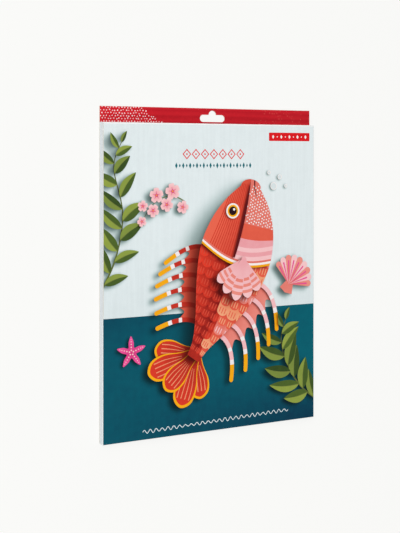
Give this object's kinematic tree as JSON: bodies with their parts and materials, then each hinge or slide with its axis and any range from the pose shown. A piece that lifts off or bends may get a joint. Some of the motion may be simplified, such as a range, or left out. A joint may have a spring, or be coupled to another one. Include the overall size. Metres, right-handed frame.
{
  "type": "flat hanging carton",
  "caption": "Thin flat printed cardboard carton, shut, lying on its back, with a hanging strip and a hook slot along its top edge.",
  "frame": {"origin": "middle of the underside, where the pack lies on its back", "axes": "+Z out of the printed face, +Y towards the hanging strip, +X to the right of the printed face"},
  "size_m": [0.26, 0.3468, 0.01],
  "materials": {
    "carton_board": "pale blue printed carton board with a light varnish",
    "header_board": "red printed board with a light varnish, white uncoated board at its cut edges"
  },
  "bodies": {
    "root": {"carton_body": "carton_board", "hanging_back": "header_board"}
  },
  "joints": []
}
